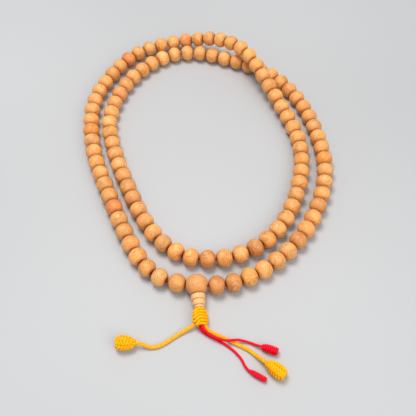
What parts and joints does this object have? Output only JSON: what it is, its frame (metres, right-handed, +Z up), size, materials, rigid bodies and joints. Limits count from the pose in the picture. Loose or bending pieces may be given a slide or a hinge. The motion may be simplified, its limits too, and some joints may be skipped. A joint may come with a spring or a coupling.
{
  "type": "mala prayer beads",
  "caption": "String of round wooden prayer beads lying in two turns, with a guru bead, a ringed stupa bead, a wound knot and four cord tails that end in stopper knots.",
  "frame": {"origin": "on the surface that the beads lie on, under the centre of the box round the beads, stupa bead and wound knot", "axes": "+Z up from the surface, +Y across it away from the tassel, +X to the right of someone who faces the far side from the tassel"},
  "size_m": [0.1215, 0.1965, 0.0166],
  "materials": {
    "bead_wood": "satin, fine grain with small dark pores",
    "guru_wood": "satin, ringed grain",
    "stupa_wood": "satin, paler wood",
    "red_cord": "smooth braided cord with a satin sheen",
    "yellow_cord": "smooth braided cord with a satin sheen"
  },
  "bodies": {
    "strand": {"string_loop": "red_cord", "beads_021_032": "bead_wood", "beads_033_044": "bead_wood", "beads_045_055": "bead_wood", "beads_056_066": "bead_wood", "beads_067_077": "bead_wood", "beads_078_088": "bead_wood"},
    "bead_001": {"bead_001": "bead_wood"},
    "bead_002": {"bead_002": "bead_wood"},
    "bead_003": {"bead_003": "bead_wood"},
    "bead_004": {"bead_004": "bead_wood"},
    "bead_005": {"bead_005": "bead_wood"},
    "bead_006": {"bead_006": "bead_wood"},
    "bead_007": {"bead_007": "bead_wood"},
    "bead_008": {"bead_008": "bead_wood"},
    "bead_009": {"bead_009": "bead_wood"},
    "bead_010": {"bead_010": "bead_wood"},
    "bead_011": {"bead_011": "bead_wood"},
    "bead_012": {"bead_012": "bead_wood"},
    "bead_013": {"bead_013": "bead_wood"},
    "bead_014": {"bead_014": "bead_wood"},
    "bead_015": {"bead_015": "bead_wood"},
    "bead_016": {"bead_016": "bead_wood"},
    "bead_017": {"bead_017": "bead_wood"},
    "bead_018": {"bead_018": "bead_wood"},
    "bead_019": {"bead_019": "bead_wood"},
    "bead_020": {"bead_020": "bead_wood"},
    "bead_089": {"bead_089": "bead_wood"},
    "bead_090": {"bead_090": "bead_wood"},
    "bead_091": {"bead_091": "bead_wood"},
    "bead_092": {"bead_092": "bead_wood"},
    "bead_093": {"bead_093": "bead_wood"},
    "bead_094": {"bead_094": "bead_wood"},
    "bead_095": {"bead_095": "bead_wood"},
    "bead_096": {"bead_096": "bead_wood"},
    "bead_097": {"bead_097": "bead_wood"},
    "bead_098": {"bead_098": "bead_wood"},
    "bead_099": {"bead_099": "bead_wood"},
    "bead_100": {"bead_100": "bead_wood"},
    "bead_101": {"bead_101": "bead_wood"},
    "bead_102": {"bead_102": "bead_wood"},
    "bead_103": {"bead_103": "bead_wood"},
    "bead_104": {"bead_104": "bead_wood"},
    "bead_105": {"bead_105": "bead_wood"},
    "bead_106": {"bead_106": "bead_wood"},
    "bead_107": {"bead_107": "bead_wood"},
    "bead_108": {"bead_108": "bead_wood"},
    "guru": {"guru_bead": "guru_wood", "main_knot": "yellow_cord", "string_end_left": "red_cord", "string_end_right": "red_cord"},
    "stupa": {"stupa_bead": "stupa_wood"},
    "yellow_left": {"yellow_tail_left": "yellow_cord", "yellow_knot_left": "yellow_cord"},
    "yellow_right": {"yellow_tail_right": "yellow_cord", "yellow_knot_right": "yellow_cord"},
    "red_upper": {"red_tail_upper": "red_cord", "red_knot_upper": "red_cord"},
    "red_lower": {"red_tail_lower": "red_cord", "red_knot_lower": "red_cord"}
  },
  "joints": [
    {"name": "guru_swing", "type": "hinge", "parent": "strand", "child": "guru", "pos_m": [-0.003, -0.0705, 0.0045], "axis": [-0.9983, 0.0578, 0], "range_deg": [0, 150]},
    {"name": "stupa_spin", "type": "hinge", "parent": "guru", "child": "stupa", "pos_m": [-0.00215, -0.07741, 0.00379], "axis": [0.1212, -0.9875, -0.1011], "continuous": true},
    {"name": "yellow_left_swing", "type": "hinge", "parent": "guru", "child": "yellow_left", "pos_m": [-0.0038, -0.0869, 0.0024], "axis": [0, 0, 1], "range_deg": [-25, 25]},
    {"name": "yellow_right_swing", "type": "hinge", "parent": "guru", "child": "yellow_right", "pos_m": [0, -0.0874, 0.00225], "axis": [0, 0, 1], "range_deg": [-12, 10]},
    {"name": "red_upper_swing", "type": "hinge", "parent": "yellow_right", "child": "red_upper", "pos_m": [-0.0008, -0.08745, 0.00335], "axis": [0, 0, 1], "range_deg": [-2, 15]},
    {"name": "red_lower_swing", "type": "hinge", "parent": "yellow_right", "child": "red_lower", "pos_m": [-0.0017, -0.0875, 0.00225], "axis": [0, 0, 1], "range_deg": [-30, 2]},
    {"name": "bead_001_slide", "type": "slide", "parent": "strand", "child": "bead_001", "axis": [-0.9755, 0.2136, -0.0533], "range_m": [0, 0.0006]},
    {"name": "bead_002_spin", "type": "hinge", "parent": "strand", "child": "bead_002", "pos_m": [-0.01828, -0.06676, 0.00404], "axis": [-0.8623, 0.5062, -0.0113], "continuous": true},
    {"name": "bead_003_spin", "type": "hinge", "parent": "strand", "child": "bead_003", "pos_m": [-0.02372, -0.06236, 0.004], "axis": [-0.675, 0.7378, 0], "continuous": true},
    {"name": "bead_004_spin", "type": "hinge", "parent": "strand", "child": "bead_004", "pos_m": [-0.02799, -0.05674, 0.004], "axis": [-0.5293, 0.8484, 0], "continuous": true},
    {"name": "bead_005_spin", "type": "hinge", "parent": "strand", "child": "bead_005", "pos_m": [-0.0315, -0.0506, 0.004], "axis": [-0.4625, 0.8866, 0], "continuous": true},
    {"name": "bead_006_spin", "type": "hinge", "parent": "strand", "child": "bead_006", "pos_m": [-0.03465, -0.04427, 0.004], "axis": [-0.429, 0.9033, 0], "continuous": true},
    {"name": "bead_007_spin", "type": "hinge", "parent": "strand", "child": "bead_007", "pos_m": [-0.03759, -0.03782, 0.004], "axis": [-0.3997, 0.9167, 0], "continuous": true},
    {"name": "bead_008_spin", "type": "hinge", "parent": "strand", "child": "bead_008", "pos_m": [-0.04033, -0.0313, 0.004], "axis": [-0.3767, 0.9263, 0], "continuous": true},
    {"name": "bead_009_spin", "type": "hinge", "parent": "strand", "child": "bead_009", "pos_m": [-0.04301, -0.02474, 0.004], "axis": [-0.3786, 0.9256, 0], "continuous": true},
    {"name": "bead_010_spin", "type": "hinge", "parent": "strand", "child": "bead_010", "pos_m": [-0.04575, -0.01822, 0.004], "axis": [-0.3948, 0.9188, 0], "continuous": true},
    {"name": "bead_011_spin", "type": "hinge", "parent": "strand", "child": "bead_011", "pos_m": [-0.04848, -0.01168, 0.004], "axis": [-0.3766, 0.9264, 0], "continuous": true},
    {"name": "bead_012_spin", "type": "hinge", "parent": "strand", "child": "bead_012", "pos_m": [-0.05093, -0.00505, 0.004], "axis": [-0.3161, 0.9487, 0], "continuous": true},
    {"name": "bead_013_spin", "type": "hinge", "parent": "strand", "child": "bead_013", "pos_m": [-0.05297, 0.00173, 0.004], "axis": [-0.2608, 0.9654, 0], "continuous": true},
    {"name": "bead_014_spin", "type": "hinge", "parent": "strand", "child": "bead_014", "pos_m": [-0.05462, 0.00861, 0.004], "axis": [-0.2047, 0.9788, 0], "continuous": true},
    {"name": "bead_015_spin", "type": "hinge", "parent": "strand", "child": "bead_015", "pos_m": [-0.05582, 0.01558, 0.004], "axis": [-0.1363, 0.9907, 0], "continuous": true},
    {"name": "bead_016_spin", "type": "hinge", "parent": "strand", "child": "bead_016", "pos_m": [-0.05661, 0.02261, 0.004], "axis": [-0.0862, 0.9963, 0], "continuous": true},
    {"name": "bead_017_spin", "type": "hinge", "parent": "strand", "child": "bead_017", "pos_m": [-0.0569, 0.02968, 0.004], "axis": [0.006, 1, 0], "continuous": true},
    {"name": "bead_018_spin", "type": "hinge", "parent": "strand", "child": "bead_018", "pos_m": [-0.05631, 0.03672, 0.004], "axis": [0.1594, 0.9872, 0], "continuous": true},
    {"name": "bead_019_spin", "type": "hinge", "parent": "strand", "child": "bead_019", "pos_m": [-0.05468, 0.04358, 0.004], "axis": [0.3018, 0.9534, 0], "continuous": true},
    {"name": "bead_020_spin", "type": "hinge", "parent": "strand", "child": "bead_020", "pos_m": [-0.0522, 0.0502, 0.004], "axis": [0.3993, 0.9168, 0], "continuous": true},
    {"name": "bead_089_spin", "type": "hinge", "parent": "strand", "child": "bead_089", "pos_m": [0.04727, 0.03827, 0.004], "axis": [0.4382, -0.8989, 0], "continuous": true},
    {"name": "bead_090_spin", "type": "hinge", "parent": "strand", "child": "bead_090", "pos_m": [0.05008, 0.03178, 0.004], "axis": [0.3545, -0.935, 0], "continuous": true},
    {"name": "bead_091_spin", "type": "hinge", "parent": "strand", "child": "bead_091", "pos_m": [0.05228, 0.02506, 0.004], "axis": [0.2652, -0.9642, 0], "continuous": true},
    {"name": "bead_092_spin", "type": "hinge", "parent": "strand", "child": "bead_092", "pos_m": [0.05392, 0.01818, 0.004], "axis": [0.1993, -0.9799, 0], "continuous": true},
    {"name": "bead_093_spin", "type": "hinge", "parent": "strand", "child": "bead_093", "pos_m": [0.05518, 0.01121, 0.004], "axis": [0.1572, -0.9876, 0], "continuous": true},
    {"name": "bead_094_spin", "type": "hinge", "parent": "strand", "child": "bead_094", "pos_m": [0.05613, 0.0042, 0.004], "axis": [0.11, -0.9939, 0], "continuous": true},
    {"name": "bead_095_spin", "type": "hinge", "parent": "strand", "child": "bead_095", "pos_m": [0.05659, -0.00286, 0.004], "axis": [0.0216, -0.9998, 0], "continuous": true},
    {"name": "bead_096_spin", "type": "hinge", "parent": "strand", "child": "bead_096", "pos_m": [0.05629, -0.00992, 0.004], "axis": [-0.1076, -0.9942, 0], "continuous": true},
    {"name": "bead_097_spin", "type": "hinge", "parent": "strand", "child": "bead_097", "pos_m": [0.05512, -0.01689, 0.004], "axis": [-0.2219, -0.9751, 0], "continuous": true},
    {"name": "bead_098_spin", "type": "hinge", "parent": "strand", "child": "bead_098", "pos_m": [0.05324, -0.02371, 0.004], "axis": [-0.31, -0.9507, 0], "continuous": true},
    {"name": "bead_099_spin", "type": "hinge", "parent": "strand", "child": "bead_099", "pos_m": [0.05079, -0.03034, 0.004], "axis": [-0.3823, -0.924, 0], "continuous": true},
    {"name": "bead_100_spin", "type": "hinge", "parent": "strand", "child": "bead_100", "pos_m": [0.04782, -0.03677, 0.004], "axis": [-0.4545, -0.8907, 0], "continuous": true},
    {"name": "bead_101_spin", "type": "hinge", "parent": "strand", "child": "bead_101", "pos_m": [0.04433, -0.04291, 0.004], "axis": [-0.5341, -0.8454, 0], "continuous": true},
    {"name": "bead_102_spin", "type": "hinge", "parent": "strand", "child": "bead_102", "pos_m": [0.04024, -0.04868, 0.004], "axis": [-0.6201, -0.7846, 0], "continuous": true},
    {"name": "bead_103_spin", "type": "hinge", "parent": "strand", "child": "bead_103", "pos_m": [0.03559, -0.05401, 0.004], "axis": [-0.6932, -0.7208, 0], "continuous": true},
    {"name": "bead_104_spin", "type": "hinge", "parent": "strand", "child": "bead_104", "pos_m": [0.03043, -0.05884, 0.004], "axis": [-0.766, -0.6429, 0], "continuous": true},
    {"name": "bead_105_spin", "type": "hinge", "parent": "strand", "child": "bead_105", "pos_m": [0.02475, -0.06305, 0.004], "axis": [-0.8379, -0.5459, 0], "continuous": true},
    {"name": "bead_106_spin", "type": "hinge", "parent": "strand", "child": "bead_106", "pos_m": [0.01861, -0.06655, 0.004], "axis": [-0.8963, -0.4435, 0], "continuous": true},
    {"name": "bead_107_spin", "type": "hinge", "parent": "strand", "child": "bead_107", "pos_m": [0.01205, -0.06915, 0.00405], "axis": [-0.9564, -0.2915, 0.0147], "continuous": true},
    {"name": "bead_108_spin", "type": "hinge", "parent": "strand", "child": "bead_108", "pos_m": [0.00515, -0.07047, 0.0043], "axis": [-0.9952, -0.0813, 0.0553], "continuous": true}
  ]
}
